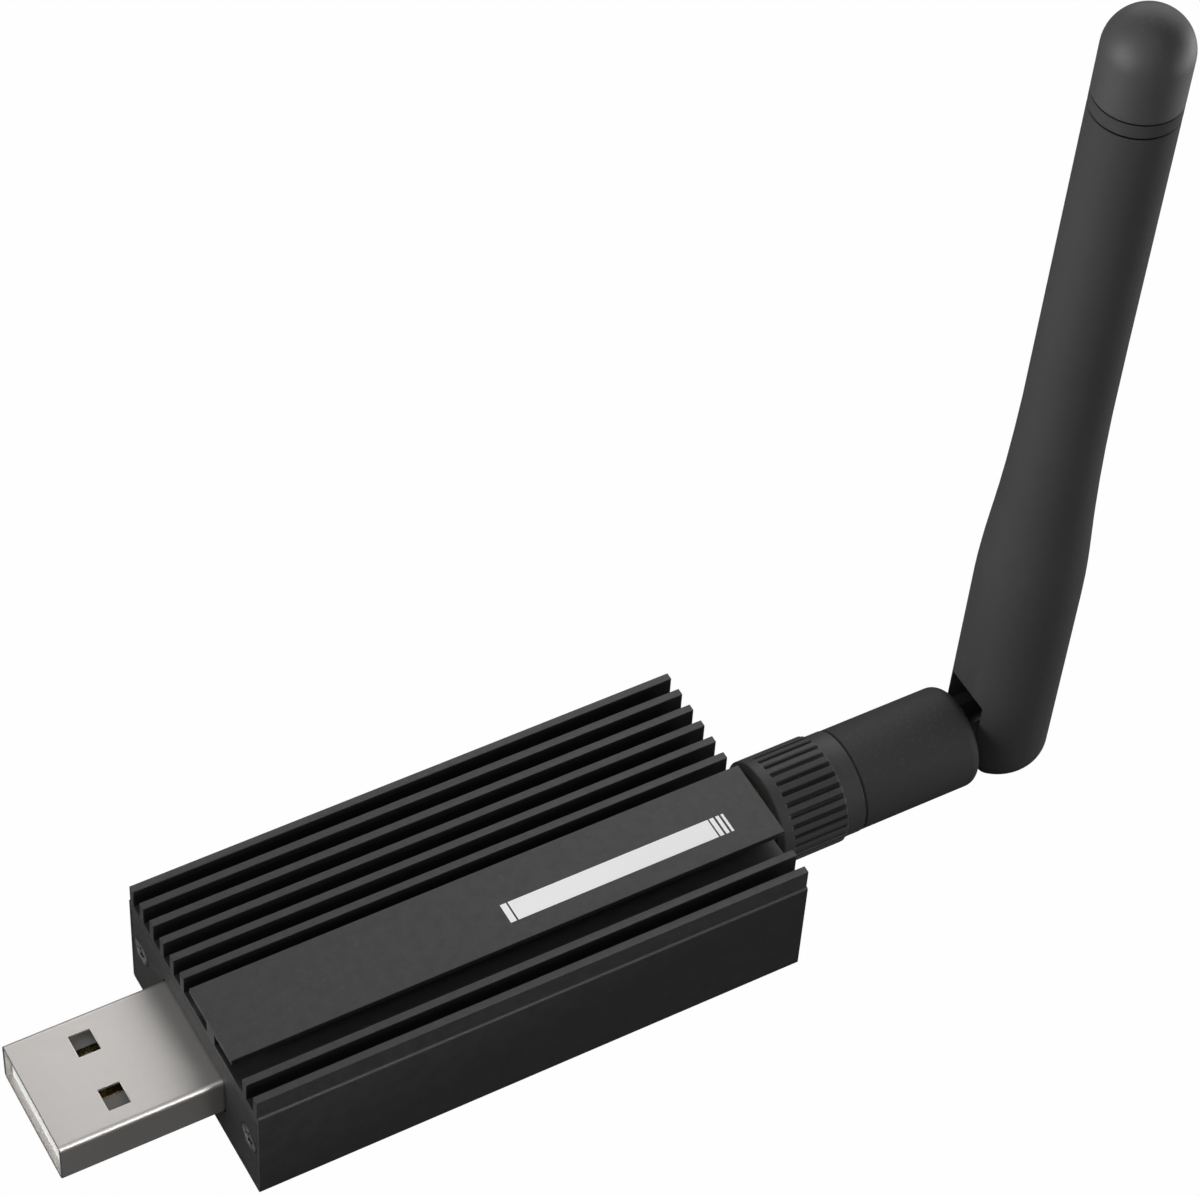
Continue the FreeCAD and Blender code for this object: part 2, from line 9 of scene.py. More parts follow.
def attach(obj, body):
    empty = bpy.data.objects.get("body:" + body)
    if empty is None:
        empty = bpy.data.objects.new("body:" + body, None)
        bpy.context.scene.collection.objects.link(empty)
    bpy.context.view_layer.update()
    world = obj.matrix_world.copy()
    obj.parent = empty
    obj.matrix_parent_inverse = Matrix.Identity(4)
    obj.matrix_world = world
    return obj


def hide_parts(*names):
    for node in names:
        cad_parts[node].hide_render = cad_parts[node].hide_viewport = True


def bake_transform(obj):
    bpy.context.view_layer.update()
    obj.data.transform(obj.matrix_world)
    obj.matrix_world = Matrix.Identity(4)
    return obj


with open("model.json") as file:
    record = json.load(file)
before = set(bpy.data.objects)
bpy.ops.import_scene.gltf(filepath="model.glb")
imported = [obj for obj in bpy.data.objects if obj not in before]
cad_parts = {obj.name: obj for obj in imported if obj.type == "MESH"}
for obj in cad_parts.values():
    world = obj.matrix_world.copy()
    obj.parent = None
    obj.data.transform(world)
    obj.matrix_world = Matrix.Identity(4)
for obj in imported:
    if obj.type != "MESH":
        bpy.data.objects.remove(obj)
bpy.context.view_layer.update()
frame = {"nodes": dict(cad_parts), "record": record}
nodes = frame["nodes"]
mm = 0.001

# places on the stick, in millimetres in the part's frame
axisZ = 5.25
housingEnd = 26.5
hingeX = 54.9
bladeLean = math.radians(1.9)
print("frame loaded", len(nodes), "nodes")


# small builders for objects and shader nodes

def addObject(name, data):
    item = bpy.data.objects.new(name, data)
    bpy.context.scene.collection.objects.link(item)
    return item


def feed(tree, socket, value):
    # links another node's socket, and sets anything else as the socket's own value
    if isinstance(value, bpy.types.NodeSocket):
        tree.links.new(value, socket)
    else:
        socket.default_value = value


def addNode(tree, kind, inputs=(), operation=None):
    # inputs pairs a socket's label or number with what it is fed
    node = tree.nodes.new("ShaderNode" + kind)
    if operation:
        node.operation = operation
    for key, value in dict(inputs).items():
        feed(tree, node.inputs[key], value)
    return node


def worked(tree, operation, *values, kind="Math"):
    return addNode(tree, kind, enumerate(values), operation).outputs[0]


def product(tree, share, *others):
    for other in others:
        share = worked(tree, "MULTIPLY", share, other)
    return share


def ranged(tree, value, source=(0.0, 1.0), target=(0.0, 1.0)):
    # clamps the value to the range source and carries it to the range target
    labels = ("From Min", "From Max", "To Min", "To Max")
    return addNode(tree, "MapRange", {"Value": value, **dict(zip(labels, (*source, *target)))}).outputs[0]


# camera, floor and light, in millimetres and degrees, with the camera fitted to the photo

cameraSet = {"place": (-107.93, -191.34, 306.31), "azimuth": -31.871, "elevation": 49.264, "roll": -4.079,
             "lens": 127.13, "sensor": 36.0, "clip": (10, 20000)}
lightSet = {
    "left": {"place": (-470, 40, 120), "aim": (30, 0, 35), "size": (300, 260), "power": 1.55},
    "aerial": {"place": (-260, 30, 120), "aim": (57, 0, 106), "size": (230, 180), "power": 0.085, "spread": 50},
    "camera": {"place": (-120, -230, 430), "aim": (30, 0, 20), "size": (360, 360), "power": 0.51},
    "top": {"place": (360, 330, 315), "aim": (10, 0, 10), "size": (640, 460), "power": 2.15},
    "right": {"place": (225, -60, 34), "aim": (58, 0, 80), "size": (220, 90), "power": 0.40},
    "edge": {"place": (59, -380, 240), "aim": (-36, -6, 8), "size": (60, 60), "power": 0.010, "spread": 24},
}
openSpread = 180
floorSet = {"size": 3000, "drop": 0.05, "albedo": 0.05, "white": 0.96, "glow": 1.03, "glossyWhite": 0.04}
worldSet = {"fill": 0.05, "white": 1.0, "glossyWhite": 0.08}


def makeCamera():
    data = bpy.data.cameras.new("photoCamera")
    data.sensor_fit = "HORIZONTAL"
    data.sensor_width = cameraSet["sensor"]
    data.lens = cameraSet["lens"]
    data.clip_start, data.clip_end = (distance * mm for distance in cameraSet["clip"])
    a, e, r = (math.radians(cameraSet[k]) for k in ("azimuth", "elevation", "roll"))
    look = Vector((math.sin(-a) * math.cos(e), math.cos(a) * math.cos(e), -math.sin(e)))
    right = Vector((math.cos(a), math.sin(a), 0))
    down = look.cross(right)
    across = math.cos(r) * right + math.sin(r) * down
    up = math.sin(r) * right - math.cos(r) * down
    turn = Matrix((across, up, -look)).transposed()
    camera = addObject("photoCamera", data)
    camera.matrix_world = Matrix.Translation(Vector(cameraSet["place"]) * mm) @ turn.to_4x4()
    bpy.context.scene.camera = camera


def makeLights():
    for name, spec in lightSet.items():
        data = bpy.data.lights.new(name + "Light", "AREA")
        data.shape = "RECTANGLE"
        data.size, data.size_y = (side * mm for side in spec["size"])
        data.energy = spec["power"]
        data.spread = math.radians(spec.get("spread", openSpread))
        place, aim = Vector(spec["place"]) * mm, Vector(spec["aim"]) * mm
        lamp = addObject(name + "Light", data)
        lamp.location = place
        lamp.rotation_euler = (aim - place).to_track_quat("-Z", "Y").to_euler()


def whiteShare(tree, direct, glossy):
    # how much of the plain white a ray sees: direct for the camera and through glass, glossy off what is glossy
    path = addNode(tree, "LightPath").outputs
    labels = (("Is Camera Ray", direct), ("Is Transmission Ray", direct), ("Is Glossy Ray", glossy))
    camera, glass, gloss = (worked(tree, "MULTIPLY", path[label], share) for label, share in labels)
    return worked(tree, "MAXIMUM", worked(tree, "MAXIMUM", camera, glass), gloss)


def makeFloor():
    half = floorSet["size"] / 2 * mm
    z = -floorSet["drop"] * mm
    corners = [(-half, -half, z), (half, -half, z), (half, half, z), (-half, half, z)]
    mesh = bpy.data.meshes.new("floor")
    mesh.from_pydata(corners, [], [(0, 1, 2, 3)])
    floor = addObject("floor", mesh)
    material = bpy.data.materials.new("paleFloor")
    material.use_nodes = True
    tree = material.node_tree
    tree.nodes.clear()
    matte = addNode(tree, "BsdfDiffuse", {"Color": (floorSet["albedo"],) * 3 + (1,)})
    glow = addNode(tree, "Emission", {"Strength": floorSet["glow"]})
    share = whiteShare(tree, floorSet["white"], floorSet["glossyWhite"])
    mix = addNode(tree, "MixShader", {"Fac": share, 1: matte.outputs[0], 2: glow.outputs[0]})
    addNode(tree, "OutputMaterial", {"Surface": mix.outputs[0]})
    mesh.materials.append(material)


def makeWorld():
    world = bpy.data.worlds.new("studio")
    bpy.context.scene.world = world
    world.use_nodes = True
    tree = world.node_tree
    tree.nodes.clear()
    share = whiteShare(tree, worldSet["white"], worldSet["glossyWhite"])
    strength = ranged(tree, share, target=(worldSet["fill"], 1.0))
    back = addNode(tree, "Background", {"Color": (1, 1, 1, 1), "Strength": strength})
    addNode(tree, "OutputWorld", {"Surface": back.outputs[0]})


makeCamera()
makeLights()
makeFloor()
makeWorld()
bpy.context.scene.view_settings.view_transform = "Standard"
print("camera, floor and light done")


# shared surface effects, each a node group whose masks vary over the piece

def groupWith(name, inputs, outputs=("Mask",)):
    # inputs gives each socket's first value, a tuple for a vector
    group = bpy.data.node_groups.new(name, "ShaderNodeTree")
    for label, value in inputs.items():
        kind = "NodeSocketVector" if isinstance(value, tuple) else "NodeSocketFloat"
        group.interface.new_socket(name=label, in_out="INPUT", socket_type=kind).default_value = value
    for label in outputs:
        group.interface.new_socket(name=label, in_out="OUTPUT", socket_type="NodeSocketFloat")
    return group, group.nodes.new("NodeGroupInput").outputs, group.nodes.new("NodeGroupOutput").inputs


def objectPlace(tree):
    return addNode(tree, "TexCoord").outputs["Object"]


def noiseAt(tree, place, scale, detail):
    return addNode(tree, "TexNoise", {"Vector": place, "Scale": scale, "Detail": detail}).outputs["Fac"]


grainSet = {"detail": 3.0, "contrast": (0.35, 0.65)}


def makeGrain():
    # noise on object coordinates, stretched by Stretch: Height for bump, Mask for tone
    group, given, made = groupWith("surfaceGrain", {"Scale": 3000.0, "Stretch": (1, 1, 1)}, ("Height", "Mask"))
    place = worked(group, "MULTIPLY", objectPlace(group), given["Stretch"], kind="VectorMath")
    noise = noiseAt(group, place, given["Scale"], grainSet["detail"])
    feed(group, made["Height"], noise)
    feed(group, made["Mask"], ranged(group, noise, grainSet["contrast"]))
    return group


wearSet = {"scale": 900.0, "detail": 4.0, "noise": (0.35, 0.60), "share": (0.6, 1.0)}


def makeEdgeWear():
    # rubbed edges: how convex the surface is, from Start to End, with a share that noise takes off
    group, given, made = groupWith("edgeWear", {"Start": 0.52, "End": 0.62})
    convex = ranged(group, addNode(group, "NewGeometry").outputs["Pointiness"], (given["Start"], given["End"]))
    noise = noiseAt(group, objectPlace(group), wearSet["scale"], wearSet["detail"])
    feed(group, made["Mask"], product(group, convex, ranged(group, noise, wearSet["noise"], wearSet["share"])))
    return group


dustSet = {"tone": (0.42, 0.41, 0.40), "facing": (0.2, 1.0), "scale": 2600.0, "detail": 5.0,
           "specks": (0.56, 0.74)}


def makeDust():
    # fine dust that settles on what faces up
    group, given, made = groupWith("settledDust", {"Amount": 0.2})
    normal = addNode(group, "SeparateXYZ", {0: addNode(group, "NewGeometry").outputs["Normal"]}).outputs
    facing = ranged(group, normal["Z"], dustSet["facing"])
    noise = noiseAt(group, objectPlace(group), dustSet["scale"], dustSet["detail"])
    specks = ranged(group, noise, dustSet["specks"])
    feed(group, made["Mask"], product(group, facing, specks, given["Amount"]))
    return group


def makeCrease():
    # painted shade in grooves round the aerial's axis, from First to Last in X: 1 below radius Low, 0 above
    # High
    group, given, made = groupWith("grooveShade", {"Low": 0.0, "High": 0.001, "First": 0.0, "Last": 0.001})
    place = objectPlace(group)
    centred = worked(group, "SUBTRACT", place, (0, 0, axisZ * mm), kind="VectorMath")
    across = worked(group, "MULTIPLY", centred, (0, 1, 1), kind="VectorMath")
    radius = addNode(group, "VectorMath", {0: across}, "LENGTH").outputs["Value"]
    deep = ranged(group, radius, (given["Low"], given["High"]), (1.0, 0.0))
    x = addNode(group, "SeparateXYZ", {0: place}).outputs["X"]
    after = worked(group, "GREATER_THAN", x, given["First"])
    before = worked(group, "LESS_THAN", x, given["Last"])
    feed(group, made["Mask"], product(group, deep, after, before))
    return group


def makeInside():
    # 1 inside the box of half sizes Half about Centre, easing to 0 over Soft at its faces
    group, given, made = groupWith("insideBox", {"Centre": (0, 0, 0), "Half": (1, 1, 1), "Soft": 0.0001})
    offset = worked(group, "SUBTRACT", objectPlace(group), given["Centre"], kind="VectorMath")
    size = worked(group, "ABSOLUTE", offset, kind="VectorMath")
    room = worked(group, "SUBTRACT", given["Half"], size, kind="VectorMath")
    scaled = worked(group, "DIVIDE", room, given["Soft"], kind="VectorMath")
    above = worked(group, "MAXIMUM", scaled, (0, 0, 0), kind="VectorMath")
    mask = worked(group, "MINIMUM", above, (1, 1, 1), kind="VectorMath")
    parts = addNode(group, "SeparateXYZ", {0: mask}).outputs
    feed(group, made["Mask"], product(group, parts["X"], parts["Y"], parts["Z"]))
    return group


grainGroup = makeGrain()
insideGroup = makeInside()
creaseGroup = makeCrease()
wearGroup = makeEdgeWear()
dustGroup = makeDust()


# finishes

def placeGroup(tree, group, **values):
    node = tree.nodes.new("ShaderNodeGroup")
    node.node_tree = group
    for label, value in values.items():
        feed(tree, node.inputs[label], value)
    return node.outputs


def mixed(tree, mask, first, second):
    # the colour first where the mask is 0 and second where it is 1; first may be a socket
    node = addNode(tree, "Mix", {"Factor": mask})
    node.data_type = "RGBA"
    sockets = [socket for socket in node.inputs if socket.type == "RGBA"]
    for socket, value in zip(sockets, (first, second)):
        feed(tree, socket, value if isinstance(value, bpy.types.NodeSocket) else (*value, 1))
    return [socket for socket in node.outputs if socket.type == "RGBA"][0]


plainFinish = {"metallic": 0.0, "specular": 0.5, "stretch": (1, 1, 1), "patchScale": 120.0, "wearStart": 0.52,
               "wearEnd": 0.62, "boxes": (), "bump": 0.3, "depth": 0.01}


def makeFinish(name, chosen):
    # one finish: two tones in patches, grain in bump and roughness, rubbed edges, a little dust, painted shade
    # in grooves and boxes of painted shade or highlight
    spec = {**plainFinish, **chosen}
    material = bpy.data.materials.new(name)
    material.use_nodes = True
    tree = material.node_tree
    shader = tree.nodes["Principled BSDF"]
    shader.inputs["Metallic"].default_value = spec["metallic"]
    shader.inputs["Specular IOR Level"].default_value = spec["specular"]
    grain = placeGroup(tree, grainGroup, Scale=spec["grainScale"], Stretch=spec["stretch"])
    patch = placeGroup(tree, grainGroup, Scale=spec["patchScale"])
    colour = mixed(tree, patch["Mask"], spec["tone"], spec["otherTone"])
    # painted shade in grooves: darker below a radius round the aerial's axis
    if "creaseShade" in spec:
        low, high, first, last = (value * mm for value in spec["creaseAt"])
        creaseShade = placeGroup(tree, creaseGroup, Low=low, High=high, First=first, Last=last)
        colour = mixed(tree, creaseShade["Mask"], colour, spec["creaseShade"])
    if "wear" in spec:
        wear = placeGroup(tree, wearGroup, Start=spec["wearStart"], End=spec["wearEnd"])
        colour = mixed(tree, wear["Mask"], colour, spec["wear"])
    if "dust" in spec:
        dust = placeGroup(tree, dustGroup, Amount=spec["dust"])
        colour = mixed(tree, dust["Mask"], colour, dustSet["tone"])
    # each box paints a tone over its place on the piece: painted shade, or a painted highlight
    for tone, centre, half, soft in spec["boxes"]:
        centre, half = ([value * mm for value in place] for place in (centre, half))
        inside = placeGroup(tree, insideGroup, Centre=centre, Half=half, Soft=soft * mm)
        colour = mixed(tree, inside["Mask"], colour, tone)
    feed(tree, shader.inputs["Base Color"], colour)
    feed(tree, shader.inputs["Roughness"], ranged(tree, grain["Mask"], target=spec["roughness"]))
    bump = addNode(tree, "Bump", {"Strength": spec["bump"], "Distance": spec["depth"] * mm,
                                  "Height": grain["Height"]})
    feed(tree, shader.inputs["Normal"], bump.outputs[0])
    return material


# each of the boxes is a tone, a centre, half sizes and a soft edge, and creaseAt is two radii and two places
# in X, all in millimetres
finishSet = {
    # painted shade between the fins, and a painted highlight along each shoulder
    "blackAnodised": {"tone": (0.0150, 0.0150, 0.0153), "otherTone": (0.0172, 0.0172, 0.0175),
                      "wear": (0.036, 0.036, 0.037), "grainScale": 7000.0, "patchScale": 900.0,
                      "roughness": (0.46, 0.56), "bump": 0.40, "depth": 0.008, "dust": 0.02, "specular": 0.52,
                      "boxes": (((0.004, 0.004, 0.004), (0, 0, 12.1), (26.44, 12.44, 1.0), 0.08),
                                ((0.055, 0.055, 0.056), (0, -12.75, 11.10), (26.5, 0.22, 0.24), 0.12),
                                ((0.055, 0.055, 0.056), (0, 12.75, 11.10), (26.5, 0.22, 0.24), 0.12))},
    "blackSteel": {"tone": (0.010, 0.010, 0.0103), "otherTone": (0.013, 0.013, 0.0133),
                   "wear": (0.13, 0.13, 0.13), "wearStart": 0.56, "wearEnd": 0.62, "grainScale": 4200.0,
                   "roughness": (0.36, 0.46), "specular": 0.4},
    # painted shade inside the plug's shell and on its cut front edge
    "plugSteel": {"tone": (0.725, 0.697, 0.672), "otherTone": (0.735, 0.707, 0.682),
                  "wear": (0.76, 0.735, 0.71), "grainScale": 9000.0, "patchScale": 6000.0,
                  "stretch": (0.3, 1, 1), "roughness": (0.44, 0.47), "metallic": 1.0, "bump": 0.05,
                  "depth": 0.001,
                  "boxes": (((0.13, 0.126, 0.115), (-31.2, 0, 5.5), (9.0, 5.74, 1.98), 0.03),
                            ((0.30, 0.295, 0.29), (-41.53, 0, 5.5), (0.06, 6.1, 2.3), 0.02))},
    "whitePrint": {"tone": (0.96, 0.96, 0.96), "otherTone": (0.94, 0.94, 0.94), "grainScale": 6000.0,
                   "roughness": (0.46, 0.60), "bump": 0.2, "depth": 0.004},
    # painted shade on the tongue behind the shell's windows
    "whitePlastic": {"tone": (0.88, 0.88, 0.86), "otherTone": (0.84, 0.84, 0.82), "grainScale": 2600.0,
                     "roughness": (0.42, 0.58),
                     "boxes": (((0.42, 0.42, 0.41), (-32.9, 0, 4.6), (6.0, 5.8, 1.6), 0.5),)},
    "goldPlate": {"tone": (0.80, 0.58, 0.25), "otherTone": (0.86, 0.66, 0.33), "wear": (0.92, 0.78, 0.48),
                  "grainScale": 2600.0, "roughness": (0.20, 0.34), "metallic": 1.0, "bump": 0.15},
    "circuitBoard": {"tone": (0.012, 0.014, 0.016), "otherTone": (0.026, 0.030, 0.032), "grainScale": 1800.0,
                     "patchScale": 700.0, "roughness": (0.30, 0.44)},
    "tinPlate": {"tone": (0.56, 0.57, 0.58), "otherTone": (0.66, 0.67, 0.68), "grainScale": 1900.0,
                 "stretch": (0.2, 1, 1), "roughness": (0.26, 0.42), "metallic": 1.0, "bump": 0.2},
    "chipPlastic": {"tone": (0.022, 0.022, 0.023), "otherTone": (0.034, 0.034, 0.035), "grainScale": 6200.0,
                    "roughness": (0.46, 0.62), "bump": 0.5},
    "ledPlastic": {"tone": (0.80, 0.82, 0.74), "otherTone": (0.88, 0.90, 0.84), "grainScale": 2400.0,
                   "roughness": (0.12, 0.26)},
    "ceramic": {"tone": (0.40, 0.28, 0.18), "otherTone": (0.52, 0.39, 0.27), "grainScale": 5200.0,
                "patchScale": 900.0, "roughness": (0.40, 0.55)},
    "buttonPlastic": {"tone": (0.10, 0.10, 0.10), "otherTone": (0.14, 0.14, 0.14), "grainScale": 3200.0,
                      "roughness": (0.38, 0.52)},
    "aerialPlastic": {"tone": (0.052, 0.052, 0.0525), "otherTone": (0.056, 0.056, 0.0565),
                      "wear": (0.056, 0.056, 0.057), "grainScale": 4600.0, "patchScale": 60.0,
                      "roughness": (0.50, 0.60), "bump": 0.25, "depth": 0.006, "dust": 0.05, "specular": 0.07},
    "gripPlastic": {"tone": (0.054, 0.054, 0.0545), "otherTone": (0.058, 0.058, 0.0585),
                    # painted shade in the grip's grooves
                    "creaseShade": (0.008, 0.008, 0.008),
                    "creaseAt": (4.90, 5.06, housingEnd + 3.6, housingEnd + 9.3), "grainScale": 4600.0,
                    "patchScale": 60.0, "roughness": (0.44, 0.54), "bump": 0.25, "depth": 0.006, "dust": 0.04,
                    "specular": 0.22},
    "seamShade": {"tone": (0.003, 0.003, 0.003), "otherTone": (0.005, 0.005, 0.005), "grainScale": 4600.0,
                  "roughness": (0.6, 0.7), "specular": 0.05},
    "cableJacket": {"tone": (0.030, 0.024, 0.020), "otherTone": (0.042, 0.034, 0.028), "grainScale": 2600.0,
                    "roughness": (0.34, 0.48)},
    "brassTube": {"tone": (0.66, 0.48, 0.22), "otherTone": (0.74, 0.56, 0.29), "grainScale": 2200.0,
                  "stretch": (1, 1, 0.1), "roughness": (0.24, 0.38), "metallic": 1.0},
}
finishSet["capPlastic"] = {**finishSet["aerialPlastic"], "roughness": (0.54, 0.62), "specular": 0.42}
finishes = {name: makeFinish(name, spec) for name, spec in finishSet.items()}
slotFinish = {"black_anodised": "blackAnodised", "black_steel": "blackSteel", "plug_steel": "plugSteel",
              "white_plastic": "whitePlastic", "gold_plate": "goldPlate", "circuit_board": "circuitBoard",
              "tin_plate": "tinPlate", "chip_plastic": "chipPlastic", "led_plastic": "ledPlastic",
              "ceramic": "ceramic", "button_plastic": "buttonPlastic", "aerial_plastic": "aerialPlastic",
              "cable_jacket": "cableJacket", "brass_tube": "brassTube"}
nodeFinish = {"blade_cap": "capPlastic"}
print("finishes done", len(finishes))


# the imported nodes: joined flat faces, softened edges and a finish each, with the edges' widths in millimetres

edgeSet = {"housing": 0.045, "usb_end_plate": 0.04, "antenna_end_plate": 0.04, "end_plate_screws": 0.04,
           "usb_shell": 0.05, "usb_insulator": 0.05, "barrel": 0.08, "blade": 0.08, "nut_sleeve": 0.04,
           "antenna_jack": 0.05, "main_board": 0.04, "radio_shield": 0.05}
plainEdge = 0.03
softSet = {"merge": 0.0005, "flatAngle": 0.6, "edgeAngle": 32, "segments": 2, "weight": 60}
# these have flat faces with several holes, which keep one plain normal
plainFaced = ("usb_end_plate", "antenna_end_plate")


def softenEdges(piece, width):
    edges = piece.modifiers.new("softEdges", "BEVEL")
    edges.width = width * mm
    edges.segments = softSet["segments"]
    edges.limit_method = "ANGLE"
    edges.angle_limit = math.radians(softSet["edgeAngle"])
    return edges


def evenShading(piece, weight):
    even = piece.modifiers.new("evenShading", "WEIGHTED_NORMAL")
    even.keep_sharp = True
    even.weight = weight


def softenNode(node, width):
    merge = node.modifiers.new("mergeDoubles", "WELD")
    merge.merge_threshold = softSet["merge"] * mm
    flat = node.modifiers.new("joinFlatFaces", "DECIMATE")
    flat.decimate_type = "DISSOLVE"
    flat.angle_limit = math.radians(softSet["flatAngle"])
    edges = softenEdges(node, width)
    edges.harden_normals = node.name in plainFaced
    if not edges.harden_normals:
        evenShading(node, softSet["weight"])


def dressNodes():
    for row in frame["record"]["subparts"]:
        name = row["node"]
        mesh = nodes[name].data
        for layer in ("custom_normal", "sharp_edge", "sharp_face"):
            if layer in mesh.attributes:
                mesh.attributes.remove(mesh.attributes[layer])
        mesh.polygons.foreach_set("use_smooth", [True] * len(mesh.polygons))
        mesh.materials.clear()
        mesh.materials.append(finishes[nodeFinish.get(name, slotFinish[row["material_slot"]])])
        softenNode(nodes[name], edgeSet.get(name, plainEdge))


dressNodes()
print("packed nodes dressed")


# new pieces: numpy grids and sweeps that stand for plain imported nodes, in millimetres in the part's frame

def outward(points, faces):
    # quads turned so that the signed volume, the sum of a . (b x c) over their triangles, is positive
    a, b, c, d = (points[faces[:, i]] for i in range(4))
    volume = np.sum(a * np.cross(b, c)) + np.sum(a * np.cross(c, d))
    return faces if volume > 0 else faces[:, ::-1]


def makePiece(name, points, faces, finish, caps=()):
    mesh = bpy.data.meshes.new(name)
    mesh.from_pydata((points * mm).tolist(), [], [*faces.tolist(), *caps])
    mesh.polygons.foreach_set("use_smooth", [True] * len(mesh.polygons))
    mesh.materials.append(finishes[finish])
    piece = addObject(name, mesh)
    return piece


def ringFaces(rows, columns, closed=True):
    # quads of a rows x columns grid that wraps round its columns, and round its rows too if closed
    index = np.arange(rows * columns).reshape(rows, columns)
    corners = [index, np.roll(index, -1, 1), np.roll(np.roll(index, -1, 1), -1, 0), np.roll(index, -1, 0)]
    faces = np.stack(corners, -1)
    return (faces if closed else faces[:-1]).reshape(-1, 4)


def aboutAxis(along, radius, angle):
    # (x, y, z) = (housingEnd + u, r cos a, axisZ + r sin a)
    return np.stack([housingEnd + along + 0 * angle, radius * np.cos(angle), axisZ + radius * np.sin(angle)],
                    -1).reshape(-1, 3)


def circleAngles(count):
    return np.linspace(0, 2 * math.pi, count, endpoint=False)


def easing(value):
    t = np.clip(value, 0, 1)
    return t * t * (3 - 2 * t)


# width, flank, ribAt and floorAt are shares of one rib's pitch, flankAt of the flank; spans are (first, last,
# rings) from the housing's end
gripSet = {"front": 2.2, "end": 11.3, "bore": 4.02, "top": 5.13, "collar": 4.88, "chamfer": 0.5,
           "chamferPower": 1.15, "start": 3.63, "stop": 9.4, "run": 0.22, "round": 0.08, "ribs": 30,
           "width": 0.40, "flank": 0.13, "ribAt": 0.10, "flankAt": (-0.6, -0.35, -0.1, 0.15, 0.4, 0.6),
           "floorAt": 0.43,
           "spans": ((2.2, 2.2, 1), (2.2, 2.7, 7), (2.85, 3.58, 4), (3.63, 3.85, 8), (4.13, 8.9, 12),
                     (9.18, 9.4, 10), (9.46, 11.1, 6), (11.22, 11.3, 7), (11.3, 11.3, 1))}


def makeGrip():
    # r(u, t) = collar + (top - collar) * up(u) * (1 - in(u) * groove(t)), t the place in one rib's pitch, with
    # groove(t) = easing((width / 2 + flank / 2 - |t - 1/2|) / flank), then the chamfered ends and the bore
    s = gripSet
    edge = s["width"] / 2
    flanks = [0.5 - edge + s["flank"] * share for share in s["flankAt"]]
    offsets = [0.5 - edge - s["ribAt"], *flanks, s["floorAt"]]
    place = np.array(sorted([0, *offsets, 0.5, *(1 - offset for offset in offsets)]))
    angle = ((np.arange(s["ribs"])[:, None] + place) * 2 * math.pi / s["ribs"]).ravel()
    across = np.abs(np.tile(place, s["ribs"]) - 0.5)
    groove = easing((edge + s["flank"] / 2 - across) / s["flank"])
    u = np.concatenate([np.linspace(*span) for span in s["spans"]])[:, None]
    inside = easing((u - s["start"]) / s["run"])
    up = np.sqrt(np.clip(1 - np.clip((u - s["stop"] + s["run"]) / s["run"], 0, 1) ** 2, 0, 1))
    radius = s["collar"] + (s["top"] - s["collar"]) * up * (1 - inside * groove)
    radius = radius - s["chamfer"] * np.clip(1 - (u - s["front"]) / s["chamfer"], 0, 1) ** s["chamferPower"]
    radius = radius - s["round"] * np.clip(1 - (s["end"] - u) / s["round"], 0, 1) ** 2
    bore = np.full_like(radius[:1], s["bore"])
    radius = np.concatenate([bore, radius[1:-1], bore, bore])
    u = np.concatenate([u, [[(s["front"] + s["end"]) / 2]]])
    points = aboutAxis(u, radius, angle)
    faces = outward(points, ringFaces(len(u), len(angle)))
    piece = makePiece("ribbedGrip", points, faces, "gripPlastic")
    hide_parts("nut_sleeve")
    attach(piece, "coupling_nut")


threadSet = {"start": -3.25, "from": -1.25, "end": 8.3, "crest": 3.1, "root": 2.74, "power": 0.8, "fade": 0.5,
             "pitch": 0.7056, "rings": 10, "columns": 72, "bore": 2.07, "mouth": 2.325, "mouthDepth": 2.1}


def makeJack():
    # right-handed thread:
    # r(u, a) = root + (crest - root) * fade(u) * (1/2 + 1/2 cos(2 pi u / pitch - a)) ^ power
    s = threadSet
    angle = circleAngles(s["columns"])
    u = np.linspace(s["start"], s["end"], int((s["end"] - s["start"]) / s["pitch"] * s["rings"]))[:, None]
    wave = (0.5 + 0.5 * np.cos(2 * math.pi * u / s["pitch"] - angle)) ** s["power"]
    fade = easing((s["end"] - u) / s["fade"]) * easing((u - s["from"]) / s["fade"])
    outer = s["root"] + (s["crest"] - s["root"]) * fade * wave
    inner = [(s["end"], s["mouth"]), (s["end"] - s["mouthDepth"], s["mouth"]),
             (s["end"] - s["mouthDepth"], s["bore"]), (s["start"], s["bore"])]
    u = np.concatenate([u, [[place] for place, size in inner]])
    radius = np.concatenate([outer, [np.full(len(angle), size) for place, size in inner]])
    points = aboutAxis(u, radius, angle)
    faces = outward(points, ringFaces(len(u), len(angle)))
    piece = makePiece("threadedJack", points, faces, "goldPlate")
    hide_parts("antenna_jack")
    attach(piece, "stick")


def boxGrid(boxes):
    # eight corners of each (x0, x1, y0, y1, z0, z1) and its six outward quads
    low, high = np.array(boxes)[:, 0::2], np.array(boxes)[:, 1::2]
    unit = np.array([[i >> 2 & 1, i >> 1 & 1, i & 1] for i in range(8)])
    points = low[:, None] + (high - low)[:, None] * unit
    quads = np.array([[0, 1, 3, 2], [4, 6, 7, 5], [0, 4, 5, 1], [2, 3, 7, 6], [0, 2, 6, 4], [1, 5, 7, 3]])
    faces = quads[None] + 8 * np.arange(len(boxes))[:, None, None]
    return points.reshape(-1, 3), faces.reshape(-1, 4)


jackSet = {"block": (23.25, 25.25, 3.175), "leg": 1.0, "legReach": 4.2, "legSunk": 0.3, "boardTop": 4.9,
           "boardBottom": 3.3, "edge": 0.08, "weight": 50}


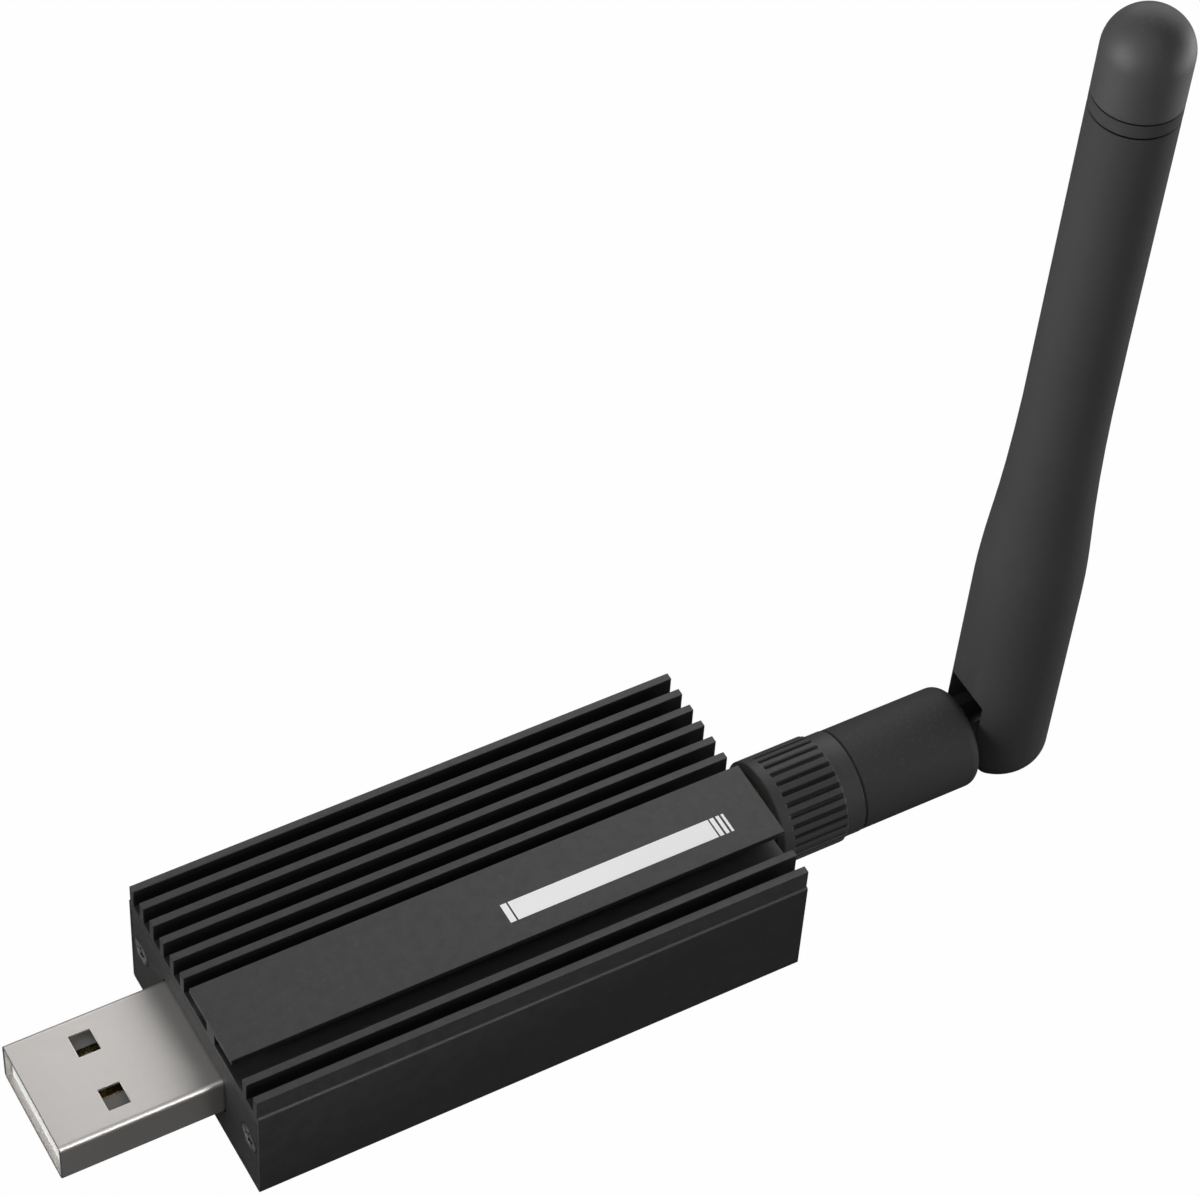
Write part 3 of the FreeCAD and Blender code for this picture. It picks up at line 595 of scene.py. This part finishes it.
def makeJackBase():
    # a block with two legs over and two under the board
    x0, x1, half = jackSet["block"]
    leg, top, bottom = jackSet["leg"], jackSet["boardTop"], jackSet["boardBottom"]
    reach, sunk = x0 - jackSet["legReach"], x0 + jackSet["legSunk"]
    boxes = [(x0, x1, -half, half, axisZ - half, axisZ + half)]
    for y0, y1 in ((-half, leg - half), (half - leg, half)):
        boxes += [(reach, sunk, y0, y1, z, z + leg) for z in (top, bottom - leg)]
    points, faces = boxGrid(boxes)
    piece = makePiece("jackBase", points, faces, "goldPlate")
    softenEdges(piece, jackSet["edge"])
    evenShading(piece, jackSet["weight"])
    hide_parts("antenna_jack")
    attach(piece, "stick")


cableSet = {"start": 38.55, "radius": 0.9, "bend": 4.0, "end": 45.95, "columns": 24, "rings": (14, 25, 40)}


def makeCable():
    # a lead along X, round an arc of radius bend at the hinge and up the leaning blade: at each place c on its
    # path with tangent (tx, 0, tz), the ring c + r (cos a * y + sin a * (tz, 0, -tx))
    s = cableSet
    turn = math.pi / 2 - bladeLean
    reach = s["bend"] * math.tan(turn / 2)
    straight, bent, raised = s["rings"]
    first = np.linspace(s["start"], hingeX - reach, straight)[:-1]
    swing = np.linspace(0, turn, bent)
    last = np.linspace(reach, s["end"], raised)[1:]
    arcX, arcZ = hingeX - reach + s["bend"] * np.sin(swing), s["bend"] * (1 - np.cos(swing))
    x = np.concatenate([first, arcX, hingeX + last * math.sin(bladeLean)])
    z = np.concatenate([0 * first, arcZ, last * math.cos(bladeLean)]) + axisZ
    direction = np.concatenate([0 * first, swing, 0 * last + turn])[:, None]
    angle = circleAngles(s["columns"])
    side, out = s["radius"] * np.cos(angle), s["radius"] * np.sin(angle)
    points = np.stack([x[:, None] + out * np.sin(direction), side + 0 * direction,
                       z[:, None] - out * np.cos(direction)], -1).reshape(-1, 3)
    count, rows = s["columns"], len(x)
    faces = outward(points, ringFaces(rows, count, closed=False))
    # the caps turn the same way as the quads beside them
    ends = [list(range(count)), list(range((rows - 1) * count, rows * count))]
    if faces[0, 0] > faces[0, 1]:
        caps = [ends[0][::-1], ends[1]]
    else:
        caps = [ends[0], ends[1][::-1]]
    piece = makePiece("coaxLead", points, faces, "cableJacket", caps)
    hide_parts("coax_cable")
    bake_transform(piece)


seamSet = {"places": (74.86, 76.29), "radius": 3.765, "inner": 3.5, "half": 0.13, "edge": 0.03, "columns": 96}


def makeSeams():
    # a dark ring of painted shade in each of the blade's two seams, turned to its lean: x = hingeX + q cos l +
    # s sin l with q = r cos a, y = r sin a, z = axisZ - q sin l + s cos l
    s = seamSet
    angle = circleAngles(s["columns"])
    rim = s["radius"] - s["edge"]
    along = np.array([-s["half"], -s["half"], 0, s["half"], s["half"]])[:, None]
    radius = np.array([s["inner"], rim, s["radius"], rim, s["inner"]])[:, None]
    q, y = radius * np.cos(angle), radius * np.sin(angle)
    points, faces = [], []
    for place in s["places"]:
        x = hingeX + q * math.cos(bladeLean) + (place + along) * math.sin(bladeLean)
        z = axisZ - q * math.sin(bladeLean) + (place + along) * math.cos(bladeLean)
        ring = np.stack([x, y, z], -1).reshape(-1, 3)
        faces.append(outward(ring, ringFaces(len(along), s["columns"])) + len(ring) * len(points))
        points.append(ring)
    piece = makePiece("seamRings", np.concatenate(points), np.concatenate(faces), "seamShade")
    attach(piece, "aerial_blade")


printSet = {"top": 13.2, "thick": 0.018, "sink": 0.03, "y": (-5.67, -3.6),
            "bars": ((0.9, 1.48), (1.65, 21.45), (21.61, 22.01), (22.22, 22.55), (22.76, 23.0))}


def makePrint():
    # the printed bar and its end strokes, flat shaded
    low, high = printSet["y"]
    bottom, top = printSet["top"] - printSet["sink"], printSet["top"] + printSet["thick"]
    points, faces = boxGrid([(x0, x1, low, high, bottom, top) for x0, x1 in printSet["bars"]])
    piece = makePiece("labelBar", points, faces, "whitePrint")
    piece.data.polygons.foreach_set("use_smooth", [False] * len(piece.data.polygons))
    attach(piece, "stick")


makeGrip()
makeJack()
makeJackBase()
makeCable()
makeSeams()
makePrint()
print("new pieces done")
